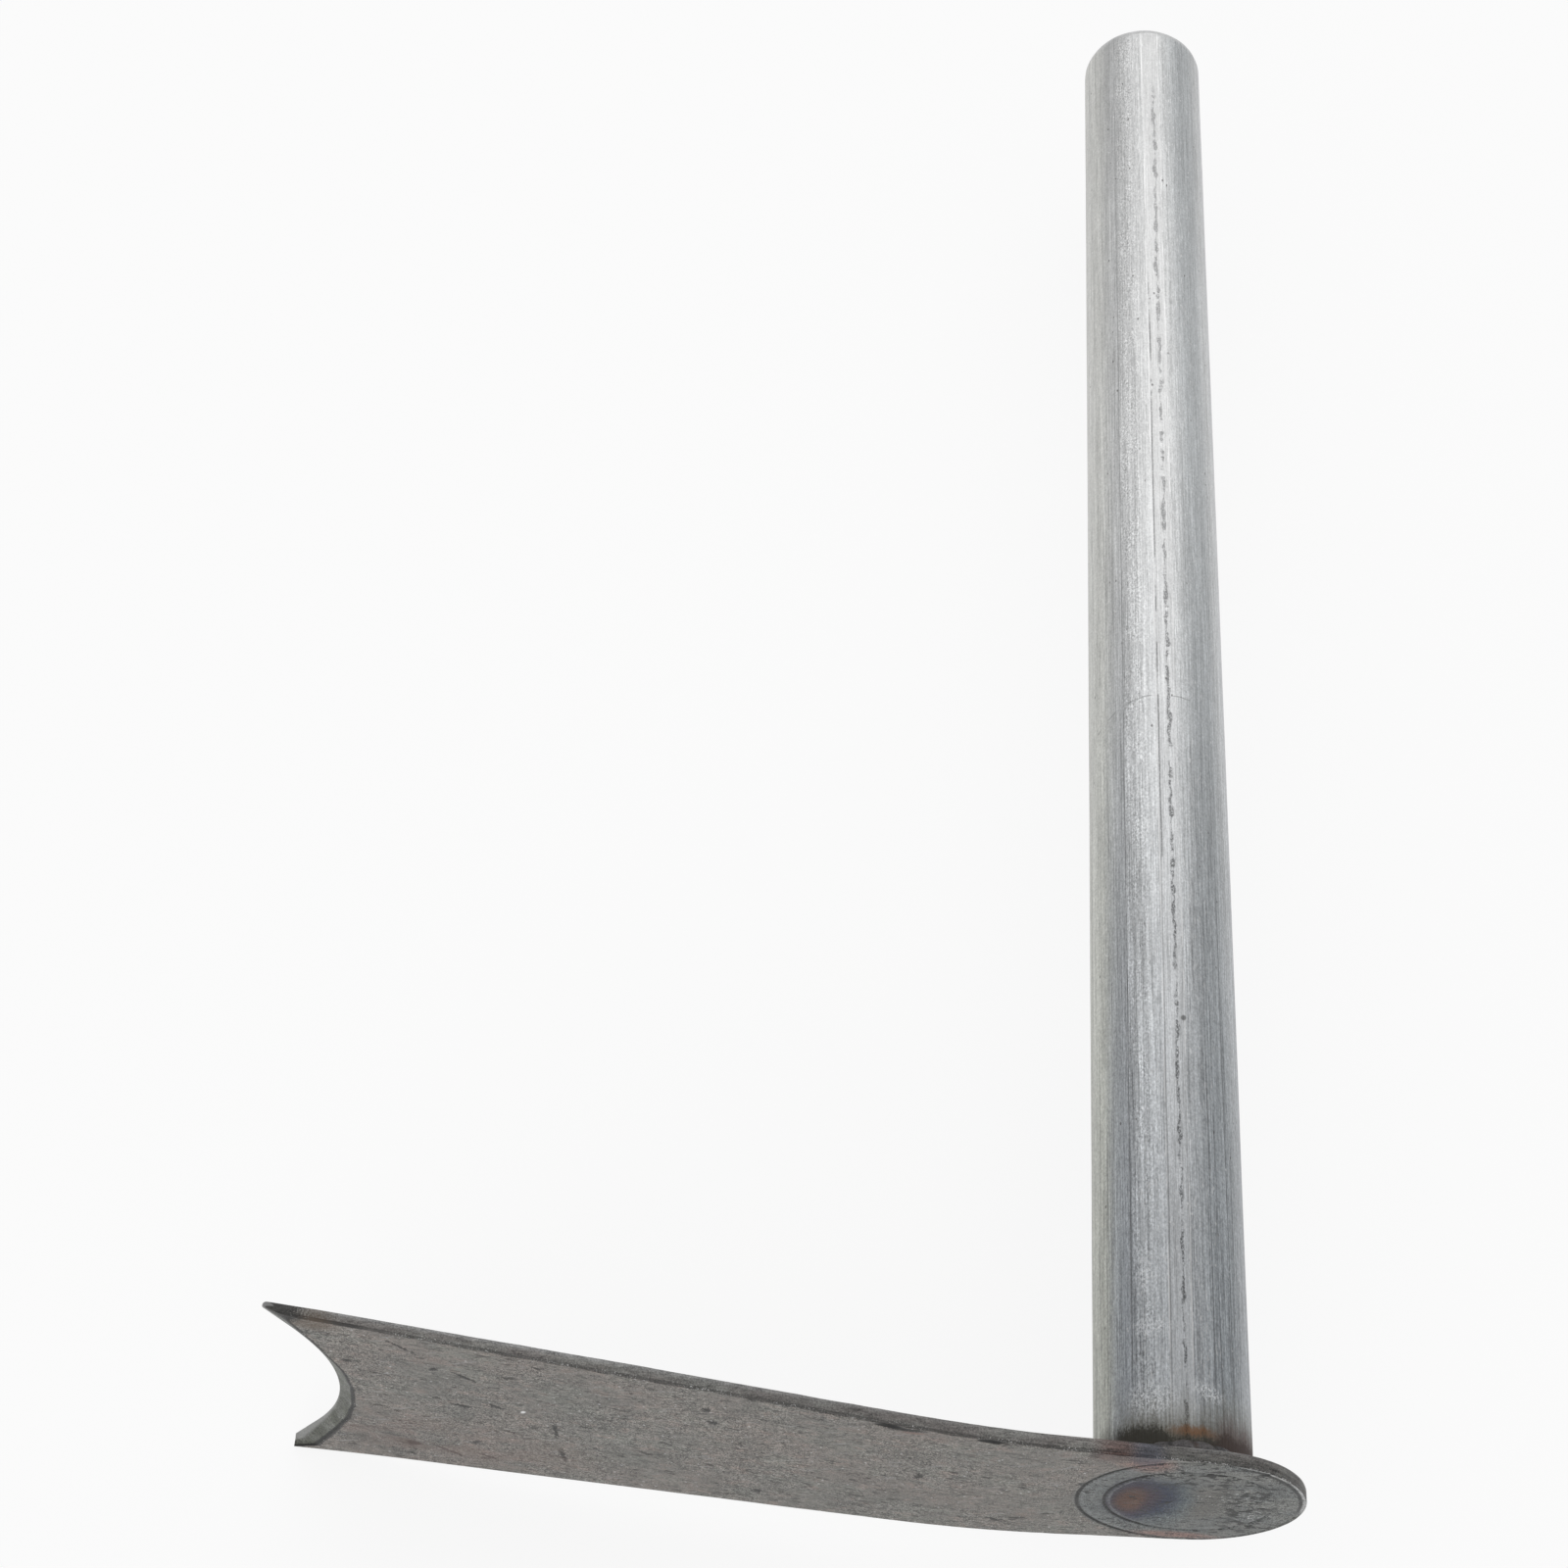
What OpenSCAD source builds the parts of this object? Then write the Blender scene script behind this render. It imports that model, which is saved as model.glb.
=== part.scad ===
// Hand hoe: a bent steel blade with a crescent cutting end, welded to the foot of a tube handle.
// The tool lies on its side: the handle runs along +Y, the blade reaches towards -X and the
// origin is where the handle's axis meets the outer face of the head. Sizes are millimetres.

/* [Handle tube] */
// Outside diameter of the handle tube
tube_d = 25; // [18:0.5:32]
// Wall of the tube
tube_wall = 1.5; // [1:0.1:2.5]
// Length of the whole tool along the handle, head plate included
tool_len = 330; // [220:1:420]
// Height of the spun dome that closes the top end
dome_h = 6.5; // [3:0.1:12]
// Width of the dressed strip along the tube's own weld seam
seam_w = 4.4; // [2:0.1:6]
// Height of the slightly tapered foot that the weld bites on
foot_h = 5.6; // [5:0.1:9]
// How much the foot tapers in, per side
foot_taper = 0.25; // [0.2:0.05:0.6]

/* [Head of the blade] */
// Diameter of the round head
head_d = 36.1; // [34:0.1:46]
// How far the middle of the head lies beyond the handle's axis
head_off = 2.5; // [0:0.1:4]
// Thickness of the plate at the head
plate_t = 2.3; // [1.5:0.1:4]
// Distance from the edge of the head to the outer coined ring
ring_inset = 0.5; // [0.3:0.1:2]
// Diameter of the inner coined ring
inner_ring_d = 26.6; // [18:0.1:30]
// Width of each coined ring
ring_w = 0.8; // [0.4:0.1:1.2]
// Depth of each coined ring
ring_depth = 0.2; // [0.1:0.05:0.5]

/* [Blade] */
// Length from the handle's axis to the prongs, measured along the plate
blade_len = 142.5; // [110:0.1:180]
// Width across the two prongs
tip_w = 59; // [44:0.1:66]
// Thickness of the plate at the prongs, where it is drawn down
tip_t = 1.9; // [1:0.1:3]
// Radius of the dressed corner on the outside of the upper prong
corner_r = 2; // [0.5:0.1:2.5]
// Radius of the same corner on the lower prong, which is left nearly sharp
low_corner_r = 0.5; // [0.3:0.1:2.5]
// Angle by which the cut ends of the prongs are out of square
end_skew = 1.3; // [0:0.1:2]
// Radius along the edges of the plate
edge_r = 0.6; // [0.2:0.05:0.75]

/* [Bend of the blade] */
// Flat length of the head, from the handle's axis to the start of the bend
bend_start = 18; // [17.5:0.5:30]
// Length of the bend
bend_len = 23.3; // [15:1:45]
// Angle that the blade rises towards the handle after the bend
rake = 4.8; // [2:0.1:15]
// Length at the prongs over which the rise eases off again
ease_len = 15.7; // [12:1:40]
// Angle by which it eases off
ease = 1.3; // [0.2:0.1:1.9]

/* [Crescent notch] */
// Depth of the crescent, from the ends of the prongs to the middle of the cutting edge
notch_depth = 9.5; // [6:0.1:14]
// Radius of the crescent
notch_r = 41; // [30:0.5:60]
// How far the crescent sits off the middle, towards the upper prong
notch_off = 0.6; // [0:0.1:2]
// Half angle of the round part of the cutting edge, which runs on straight to the prongs
notch_arc = 30; // [24:0.5:40]
// Half angle of the round part of the bevel's inner line, on the outer face
bevel_arc = 20.5; // [12:0.5:23]
// Width of the ground bevel at the middle of the crescent
bevel_w = 2.7; // [1.5:0.1:5]
// Thickness of the small land that is left at the cutting edge
land = 0.25; // [0.1:0.05:0.5]

/* [Weld] */
// Usual leg of the weld round the tube's foot
weld_leg = 2.4; // [1.8:0.1:2.9]
// Extra leg of the lump where the run was finished
lump = 0.7; // [0:0.1:1.6]
// Direction of that lump round the handle
lump_dir = -80; // [-180:1:180]
// Share by which the ripples of the run stand in and out
ripple = 0.05; // [0:0.01:0.1]
// Number of ripples round the run
ripples = 26; // [12:1:36]
// Share by which the leg swells and narrows slowly round the run
waver = 0.12; // [0:0.01:0.2]

/* [Hidden] */

steel = [0.60, 0.61, 0.61];
scale_steel = [0.47, 0.45, 0.43];
weld_steel = [0.36, 0.33, 0.35];
// A cut runs past the faces that it cuts by this much
past = 1;
tube_r = tube_d / 2;
head_r = head_d / 2;
inner_ring_r = inner_ring_d / 2;
// Directions round the handle's axis: the tube's own seam, and the start of the weld's waver
seam_dir = -91;
waver_dir = 40;
// The finishing lump fades out over this angle
lump_spread = 30;
// The bead's face bulges by this share of the leg, and climbs the tube by this share of it
bead_bulge = 0.18;
bead_climb = 1.05;
// Facets: along a quarter of the dome, the round head, each long edge, an edge's round, the notch
// and, for the weld, round the tube and over the bead's face; a prong's corner and a full turn
dome_n = 10;
head_n = 22;
side_n = 46;
round_n = 3;
notch_n = 28;
weld_n = 104;
bead_n = 5;
corner_n = 32;
turn_n = 96;

// The plate's outer face is followed by u, the distance along it from the handle's axis.
// Its slope, its place [x, z] and its thickness come from u alone.
straight_start = bend_start + bend_len;
ease_start = blade_len - ease_len;
// The blank is this much longer than the blade, before its end is ground
spare = 4;
blank_len = blade_len + spare;
bend_r = bend_len / (rake * PI / 180);
ease_r = ease_len / (ease * PI / 180);
bend_end_at = [-bend_start - bend_r * sin(rake), bend_r * (1 - cos(rake))];
ease_start_at = bend_end_at + (ease_start - straight_start) * [-cos(rake), sin(rake)];

function slope(u) =
    u <= bend_start ? 0
    : u <= straight_start ? rake * (u - bend_start) / bend_len
    : u <= ease_start ? rake
    : rake - ease * (u - ease_start) / ease_len;

function face_at(u) =
    u <= bend_start ? [-u, 0]
    : u <= straight_start ? [-bend_start - bend_r * sin(slope(u)), bend_r * (1 - cos(slope(u)))]
    : u <= ease_start ? bend_end_at + (u - straight_start) * [-cos(rake), sin(rake)]
    : ease_start_at
        + ease_r * [sin(slope(u)) - sin(rake), cos(slope(u)) - cos(rake)];

function thickness(u) =
    plate_t + (tip_t - plate_t) * max(0, u - bend_start) / (blade_len - bend_start);

// A point of the plate: u along it, y across it, and depth as millimetres in from the outer face
function plate_point(u, y, depth) =
    let (a = slope(u), p = face_at(u))
    [p[0] + depth * sin(a), y, p[1] + depth * cos(a)];

// Half of the blank's outline as [u, y]: round the head, then along the edge past the prong.
// The edge leaves the head where a line from the prong touches the head's circle.
half_w = tip_w / 2;
tip_from_head = [blade_len + head_off, half_w];
touch = atan2(tip_from_head[1], tip_from_head[0]) + acos(head_r / norm(tip_from_head));
touch_at = [head_r * cos(touch) - head_off, head_r * sin(touch)];

flare = (half_w - touch_at[1]) / (blade_len - touch_at[0]);
function edge_point(v) =
    let (u = touch_at[0] + (blank_len - touch_at[0]) * v)
    [u, touch_at[1] + flare * (u - touch_at[0])];
function head_point(b) = [-head_off - head_r * cos(b), head_r * sin(b)];

half_outline = concat(
    [for (i = [0 : head_n]) head_point((180 - touch) * i / head_n)],
    [for (i = [1 : side_n]) edge_point(i / side_n)]);
half_n = len(half_outline);

function unit(v) = v / norm(v);
function outward(i) =
    i == 0 ? [-1, 0]
    : i == half_n - 1 ? [0, 1]
    : let (along = half_outline[i + 1] - half_outline[i - 1]) unit([-along[1], along[0]]);

// One closed line round the plate, drawn in from the outline by inset. Its share of the
// thickness counts from the outer face, and lift is added in millimetres.
function ring_line(inset, share, lift) =
    let (side = [for (i = [0 : half_n - 1]) half_outline[i] - inset * outward(i)])
    [for (k = [0 : 2 * half_n - 2])
        let (i = k < half_n ? k : 2 * half_n - 1 - k,
             p = side[i],
             y = k < half_n ? p[1] : -p[1])
        plate_point(p[0], y, share * thickness(p[0]) + lift)];

// The lines of the plate's rounded rim, from the outer face to the handle side
rim = concat(
    [for (j = [0 : round_n]) let (a = 90 * j / round_n)
        ring_line(edge_r * (1 - sin(a)), 0, edge_r * (1 - cos(a)))],
    [for (j = [0 : round_n]) let (a = 90 - 90 * j / round_n)
        ring_line(edge_r * (1 - sin(a)), 1, -edge_r * (1 - cos(a)))]);

// Faces of a stack of closed lines with the same number of points
function wall_faces(lines, n) =
    [for (j = [0 : lines - 2], k = [0 : n - 1])
        let (a = j * n + k, b = j * n + (k + 1) % n)
        each [[a, b, b + n], [a, b + n, a + n]]];

// A cap that joins each point of a line to its mirror image across the plate
function cap_faces(first, n) =
    let (half = (n + 1) / 2)
    concat(
        [[first, first + n - 1, first + 1]],
        [for (i = [1 : half - 2])
            let (a = first + i, b = first + i + 1, c = first + n - i, d = first + n - i - 1)
            each [[a, c, b], [b, c, d]]]);

function flip(faces) = [for (f = faces) [f[0], f[2], f[1]]];

module plate() {
    n = 2 * half_n - 1;
    polyhedron(
        points = [for (line = rim) each line],
        faces = concat(
            flip(wall_faces(len(rim), n)),
            flip(cap_faces(0, n)),
            cap_faces((len(rim) - 1) * n, n)));
}

// The crescent is ground away by a cutter that leans: its line on the outer face lies further
// in than the cutting edge on the handle side and is flatter, so the bevel widens to the prongs.
notch_at = blade_len - notch_depth;
reach = half_w + spare;
function notch_line(arc, y) =
    let (round_y = notch_r * sin(arc))
    abs(y) < round_y ? notch_r - sqrt(notch_r ^ 2 - y ^ 2)
    : notch_r * (1 - cos(arc)) + (abs(y) - round_y) * tan(arc);

// What cuts the end stands square on the plate at the middle of the notch
module at_notch() {
    foot = face_at(notch_at);
    translate([foot[0], 0, foot[1]])
        rotate([0, slope(notch_at), 0])
            mirror([1, 0, 0])
                children();
}

module notch_cutter() {
    ground = thickness(notch_at) - land;
    far = notch_depth + spare + reach;
    across = [for (i = [0 : notch_n]) reach * (2 * i / notch_n - 1)];
    // the cutting edge, and the bevel's line carried on past the outer face in the same lean
    edge_line = [for (y = across) [notch_line(notch_arc, y), y]];
    below = [for (y = across)
        let (lean = notch_line(notch_arc, y) - notch_line(bevel_arc, y) + bevel_w)
        [notch_line(notch_arc, y) - lean * (1 + past / ground), y]];
    function closed(line, z) = concat(
        [for (p = line) [p[0], p[1], z]],
        [[far, reach, z], [far, -reach, z]]);
    lines = [closed(below, -past), closed(edge_line, ground),
             closed(edge_line, thickness(notch_at) + 2 * past)];
    n = notch_n + 3;
    last = 2 * n;
    at_notch()
        translate([0, -notch_off, 0])
            polyhedron(
                points = [for (line = lines) each line],
                faces = concat(
                    wall_faces(3, n),
                    [for (i = [1 : n - 2]) [0, i + 1, i]],
                    [for (i = [1 : n - 2]) [last, last + i, last + i + 1]]));
}

// Trims the blank to length and rounds the outer corner of each prong
module end_cutter() {
    corners = [[-1, corner_r], [1, low_corner_r]];
    at_notch()
        translate([notch_depth, 0, -2 * past])
            rotate([0, 0, -end_skew])
                linear_extrude(plate_t + 5 * past)
                    difference() {
                        translate([-2 * corner_r, -reach])
                            square([2 * corner_r + spare + past, 2 * reach]);
                        hull()
                            for (c = corners)
                                let (side = c[0], r = c[1])
                                    for (back = [r, notch_depth])
                                        translate([-back, side * (half_w - r)])
                                            circle(r, $fn = corner_n);
                    }
}

module coined_ring(r) {
    translate([head_off, 0, 0])
        rotate_extrude($fn = turn_n)
            polygon([[r - ring_w / 2, 0], [r, ring_depth], [r + ring_w / 2, 0],
                     [r + ring_w / 2, -past], [r - ring_w / 2, -past]]);
}

// The tube's outside: a cylinder on a slightly tapered foot, closed by a dome, with the
// strip along its own seam dressed flat
module tube_outside() {
    wall_end = tool_len - dome_h;
    difference() {
        rotate_extrude($fn = turn_n)
            polygon(concat(
                [[0, plate_t], [tube_r - foot_taper, plate_t], [tube_r, plate_t + foot_h]],
                [for (i = [0 : dome_n]) let (a = 90 * i / dome_n)
                    [tube_r * cos(a), wall_end + dome_h * sin(a)]]));
        flat_at = sqrt(tube_r ^ 2 - (seam_w / 2) ^ 2);
        rotate([0, 0, seam_dir])
            translate([flat_at, -tube_r, plate_t - past])
                cube([tube_r, tube_d, wall_end - plate_t + past]);
    }
}

module tube_inside() {
    bore_r = tube_r - tube_wall;
    wall_end = tool_len - dome_h;
    rotate_extrude($fn = turn_n)
        polygon(concat(
            [[0, plate_t - past], [bore_r, plate_t - past]],
            [for (i = [0 : dome_n]) let (a = 90 * i / dome_n)
                [bore_r * cos(a), wall_end + (dome_h - tube_wall) * sin(a)]]));
}

// The leg of the weld in each direction round the tube: a lump where the run was finished,
// a slow waver of the hand, and fine ripples
function turned(a) = (a + 540) % 360 - 180;
function leg(a) =
    let (off = turned(a - lump_dir))
    (weld_leg + lump * exp(-(off / lump_spread) ^ 2) + waver * weld_leg * sin(3 * a + waver_dir))
        * (1 + ripple * cos(ripples * a));

// Half of a bead's section, as [r, z] from the tube's wall and the plate's face
function bead_section(l) = concat(
    [[-tube_wall, 0], [l, 0]],
    [for (i = [1 : bead_n])
        let (v = i / bead_n, bulge = bead_bulge * l * sin(180 * v))
        [l * (1 - v) + bulge, bead_climb * l * v + bulge]],
    [[-tube_wall, bead_climb * l]]);

module lay_on_side() {
    rotate([-90, 0, 0]) children();
}

module handle_tube() {
    color(steel) lay_on_side()
        difference() {
            tube_outside();
            tube_inside();
        }
}

module blade() {
    color(scale_steel) lay_on_side()
        difference() {
            plate();
            notch_cutter();
            end_cutter();
            coined_ring(head_r - ring_inset);
            coined_ring(inner_ring_r);
        }
}

module weld_bead() {
    n = bead_n + 3;
    color(weld_steel) lay_on_side()
        difference() {
            polyhedron(
                points = [for (k = [0 : weld_n - 1])
                    let (a = 360 * k / weld_n)
                    for (p = bead_section(leg(a)))
                        [(tube_r + p[0]) * cos(a), (tube_r + p[0]) * sin(a), plate_t + p[1]]],
                faces = [for (k = [0 : weld_n - 1], j = [0 : n - 1])
                    let (a = k * n, b = (k + 1) % weld_n * n, m = (j + 1) % n)
                    each [[a + j, a + m, b + m], [a + j, b + m, b + j]]]);
            tube_outside();
        }
}

handle_tube();
blade();
weld_bead();
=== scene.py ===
import math

import bmesh
import bpy
import numpy as np
from mathutils import Matrix, Vector, noise


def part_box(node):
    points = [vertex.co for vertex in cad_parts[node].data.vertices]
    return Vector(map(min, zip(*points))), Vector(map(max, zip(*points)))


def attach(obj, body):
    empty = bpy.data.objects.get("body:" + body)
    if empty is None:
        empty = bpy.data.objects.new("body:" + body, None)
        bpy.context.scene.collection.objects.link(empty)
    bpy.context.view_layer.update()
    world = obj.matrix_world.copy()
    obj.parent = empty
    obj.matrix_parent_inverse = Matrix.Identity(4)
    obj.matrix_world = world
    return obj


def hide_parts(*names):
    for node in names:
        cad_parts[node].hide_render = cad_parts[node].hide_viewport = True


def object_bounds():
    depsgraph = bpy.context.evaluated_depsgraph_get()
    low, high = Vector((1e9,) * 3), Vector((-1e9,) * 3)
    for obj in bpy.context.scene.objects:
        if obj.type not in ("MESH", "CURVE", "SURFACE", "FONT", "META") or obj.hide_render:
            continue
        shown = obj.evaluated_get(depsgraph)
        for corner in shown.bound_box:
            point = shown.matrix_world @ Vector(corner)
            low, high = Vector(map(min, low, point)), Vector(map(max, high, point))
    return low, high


# A hand hoe on a plain pale floor: a bent steel blade with a crescent cutting end, welded to the
# foot of a tube handle. Shapes are worked out in millimetres and made in metres.

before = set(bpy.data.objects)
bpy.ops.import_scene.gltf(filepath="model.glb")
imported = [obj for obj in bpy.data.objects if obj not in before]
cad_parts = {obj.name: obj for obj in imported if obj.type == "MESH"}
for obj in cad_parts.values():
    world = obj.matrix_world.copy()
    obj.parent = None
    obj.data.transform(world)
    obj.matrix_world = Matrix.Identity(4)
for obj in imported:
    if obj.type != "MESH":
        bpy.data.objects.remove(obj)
cad_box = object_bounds()

MM = 0.001

# Handle tube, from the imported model
tube_low, tube_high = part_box("handle_tube")
tube_r = tube_high.x / MM
tool_len = tube_high.y / MM
plate_t = tube_low.y / MM
tube_wall = 1.5
dome_h = 6.5
seam_w = 4.4
foot_h = 5.6
foot_taper = 0.25
wall_end = tool_len - dome_h

# Blade: the same driving sizes as the construction
head_r = 18.05
head_off = 2.5
blade_len = 142.5
half_w = 29.5
tip_t = 1.9
bend_start = 18.0
bend_len = 23.3
rake = math.radians(4.8)
ease_len = 15.7
ease = math.radians(1.3)
notch_depth = 9.5
notch_r = 41.0
notch_off = 0.6
notch_arc = math.radians(30)
bevel_arc = math.radians(20.5)
bevel_w = 2.7
bevel_waver = 0.22
land = 0.25
end_skew = math.radians(1.3)
upper_corner_r = 2.0
lower_corner_r = 0.5
ring_depth = 0.2
ring_half = 0.4
edge_waves = 0.34
outer_ring_r = head_r - 0.5
inner_ring_r = 13.3

# Weld bead
weld_leg = 2.4
weld_height = 0.92
weld_waver = 0.12
weld_bulge = 0.18
lump = 0.7
lump_dir = math.radians(-80)
lump_spread = math.radians(24)
ripples = 26
ripple_height = 0.20


# Small helpers for shapes

def smooth(x, low, high):
    """0 at low, 1 at high, and a soft step between them."""
    t = np.clip((x - low) / (high - low), 0, 1)
    return t * t * (3 - 2 * t)


def hump(x, centre, half):
    """1 at centre, falling softly to 0 at half to each side."""
    return 1 - smooth(np.abs(x - centre), 0, half)


def uneven(points, size, seed, octaves=2):
    """Smooth noise of about -1 to 1 at each point, whose features are size millimetres wide."""
    shift = Vector((seed * 17.3, seed * 5.9, seed * 11.1))
    return np.array([noise.fractal(Vector(p) / size + shift, 1.0, 2.0, octaves) for p in points])


def uneven_line(places, lane, size, seed):
    """The same along a line, with other numbers in each lane."""
    return uneven([(place, 0, lane) for place in places], size, seed, 3)


def onward(ring):
    """The points of a closed ring, beginning with the second."""
    return np.roll(ring, -1)


def ring_faces(rings):
    """Faces between closed rings of points, from each ring to the next."""
    faces = []
    for a, b in zip(rings, rings[1:]):
        faces += zip(a, onward(a), onward(b), b)
    return faces


def new_object(name, data):
    made = bpy.data.objects.new(name, data)
    bpy.context.scene.collection.objects.link(made)
    return made


def new_piece(name, points, faces, node, materials, sharp, which=None):
    """A mesh of points in millimetres that stands for a CAD node."""
    mesh = bpy.data.meshes.new(name)
    whole = [tuple(int(corner) for corner in face) for face in faces]
    mesh.from_pydata((np.asarray(points) * MM).tolist(), [], whole)
    for material in materials:
        mesh.materials.append(material)
    if which is not None:
        mesh.polygons.foreach_set("material_index", which)
    made = bmesh.new()
    made.from_mesh(mesh)
    bmesh.ops.recalc_face_normals(made, faces=made.faces)
    made.to_mesh(mesh)
    made.free()
    mesh.shade_smooth()
    mesh.set_sharp_from_angle(angle=math.radians(sharp))
    piece = new_object(name, mesh)
    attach(piece, "root")
    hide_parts(node)
    return piece


def keep_number(piece, name, parts):
    """Stores one number a point, which the material reads by its name."""
    layer = piece.data.attributes.new(name, "FLOAT", "POINT")
    layer.data.foreach_set("value", np.concatenate(parts).astype(np.float32))


# Small helpers for materials

class Graph:
    """The nodes of one material, written as calls. A value is a number, a colour or a socket."""

    def __init__(self, name):
        self.material = bpy.data.materials.new(name)
        self.material.use_nodes = True
        self.tree = self.material.node_tree
        self.tree.nodes.clear()
        self.shader = self.node("BsdfPrincipled")
        self.surface = self.node("OutputMaterial").inputs["Surface"]
        self.feed(self.surface, self.shader.outputs[0])

    def node(self, kind, **settings):
        made = self.tree.nodes.new("ShaderNode" + kind)
        for key, value in settings.items():
            setattr(made, key, value)
        return made

    def feed(self, socket, value):
        if isinstance(value, bpy.types.NodeSocket):
            self.tree.links.new(value, socket)
        else:
            socket.default_value = (*value, 1) if socket.type == "RGBA" else value

    def call(self, kind, *values, **settings):
        """A new node with its first inputs fed in their order. Gives its first output."""
        made = self.node(kind, **settings)
        for socket, value in zip(made.inputs, values):
            self.feed(socket, value)
        return made.outputs[0]

    def math(self, operation, *values):
        return self.call("Math", *values, operation=operation)

    def chain(self, operation, values):
        """One node for each value after the first, from left to right."""
        result = values[0]
        for value in values[1:]:
            result = self.math(operation, result, value)
        return result

    def add(self, *values):
        return self.chain("ADD", values)

    def sub(self, a, b):
        return self.math("SUBTRACT", a, b)

    def mul(self, *values):
        return self.chain("MULTIPLY", values)

    def either(self, *masks):
        return self.chain("MAXIMUM", masks)

    def vary(self, noise, amount):
        """Noise made to swing round 0, by half the amount each way."""
        return self.mul(self.sub(noise, 0.5), amount)

    def length(self, a, b):
        return self.math("SQRT", self.add(self.mul(a, a), self.mul(b, b)))

    def place(self):
        """The three coordinates of the point in millimetres."""
        where = self.node("TexCoord").outputs["Object"]
        self.point = self.stretch(where, (1 / MM, 1 / MM, 1 / MM))
        split = self.node("SeparateXYZ")
        self.feed(split.inputs[0], self.point)
        return tuple(split.outputs)

    def stretch(self, vector, amounts):
        return self.call("VectorMath", vector, amounts, operation="MULTIPLY")

    def shift(self, vector, amounts):
        return self.call("VectorMath", vector, amounts, operation="ADD")

    def join(self, x, y, z):
        return self.call("CombineXYZ", x, y, z)

    def noise(self, vector, size, detail=2.0, rough=0.5):
        return self.call("TexNoise", vector, 0.0, 1 / size, detail, rough)

    def field(self, size, detail=2.0, rough=0.5, along=None, shift=None):
        """Noise at the point, moved by shift and drawn out where a share in along is small."""
        where = self.point
        if shift:
            where = self.shift(where, shift)
        if along:
            where = self.stretch(where, along)
        return self.noise(where, size, detail, rough)

    def cells(self, vector, size):
        """Distance to the nearest of scattered points."""
        return self.call("TexVoronoi", vector, 0.0, 1 / size)

    def step(self, value, low, high, start=0.0, end=1.0):
        """A soft step from start at low to end at high."""
        return self.call("MapRange", value, low, high, start, end, interpolation_type="SMOOTHSTEP")

    def fall(self, value, low, high):
        return self.step(value, low, high, 1.0, 0.0)

    def near(self, value, centre, half, soft=0.4):
        """1 where value is within half of centre, with a soft border."""
        away = self.math("ABSOLUTE", self.sub(value, centre))
        return self.fall(away, half * (1 - soft), half * (1 + soft))

    def blot(self, x, z, at, radii, soft=0.5, warp=0.0):
        """A soft round patch in the plane of x and z."""
        across = self.math("DIVIDE", self.sub(x, at[0]), radii[0])
        along = self.math("DIVIDE", self.sub(z, at[1]), radii[1])
        away = self.add(self.length(across, along), warp)
        return self.fall(away, 1 - soft, 1 + soft)

    def gash(self, x, z, at, length, tilt, width, warp=0.0):
        """A long soft-ended patch in the plane of x and z, tilted by degrees."""
        dx, dz = self.sub(x, at[0]), self.sub(z, at[1])
        c, s = math.cos(math.radians(tilt)), math.sin(math.radians(tilt))
        along = self.add(self.mul(dx, c), self.mul(dz, s))
        across = self.sub(self.mul(dz, c), self.mul(dx, s))
        return self.blot(along, across, (0, 0), (length / 2, width / 2), 0.4, warp)

    def mix(self, share, a, b):
        made = self.node("Mix", data_type="RGBA")
        for place, value in ((0, share), (6, a), (7, b)):
            self.feed(made.inputs[place], value)
        return made.outputs[2]

    def tone(self, colour, amount):
        """The colour made lighter or darker by a factor."""
        unused = (0, 0, 0)
        return self.call("VectorMath", colour, unused, unused, amount, operation="SCALE")

    def paint(self, colour, *masks):
        """Lays a colour over the material's own, as far as all the masks let it."""
        self.colour = self.mix(self.mul(*masks), self.colour, colour)

    def shade(self, amount):
        """Makes the material's own colour lighter or darker by a factor."""
        self.colour = self.tone(self.colour, amount)

    def number(self, name):
        return self.node("Attribute", attribute_name=name).outputs["Fac"]

    def bump(self, height, depth):
        made = self.node("Bump")
        made.inputs["Distance"].default_value = depth * MM
        self.feed(made.inputs["Height"], height)
        return made.outputs[0]

    def finish(self, metallic, roughness, normal):
        parts = {"Base Color": self.colour, "Metallic": metallic, "Roughness": roughness, "Normal": normal}
        for name, value in parts.items():
            self.feed(self.shader.inputs[name], value)
        return self.material


def grey(level, warm=0.0):
    """A linear colour of this level, a little warm or, below 0, a little cool."""
    return (level * (1 + warm), level, level * (1 - warm))


# Handle tube: lengths round it count from the top of the tube, with + towards the right

seam_from = -1.95
seam_to = 1.65
dash_at = 0.35
second_dash_at = -1.55
draw_line_at = -8.2
right_line_at = 9.06
low_line_at = 5.4
ring_scratch_y = 146.4
pit_at = (1.5, 79.5)
hair_depth = 0.018
wave_depth = 0.035
border_rise = 0.05
dash_depth = 0.10
second_dash_depth = 0.08
most_rise = 0.06
turned_depth = 0.02
dome_steps = 16


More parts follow.
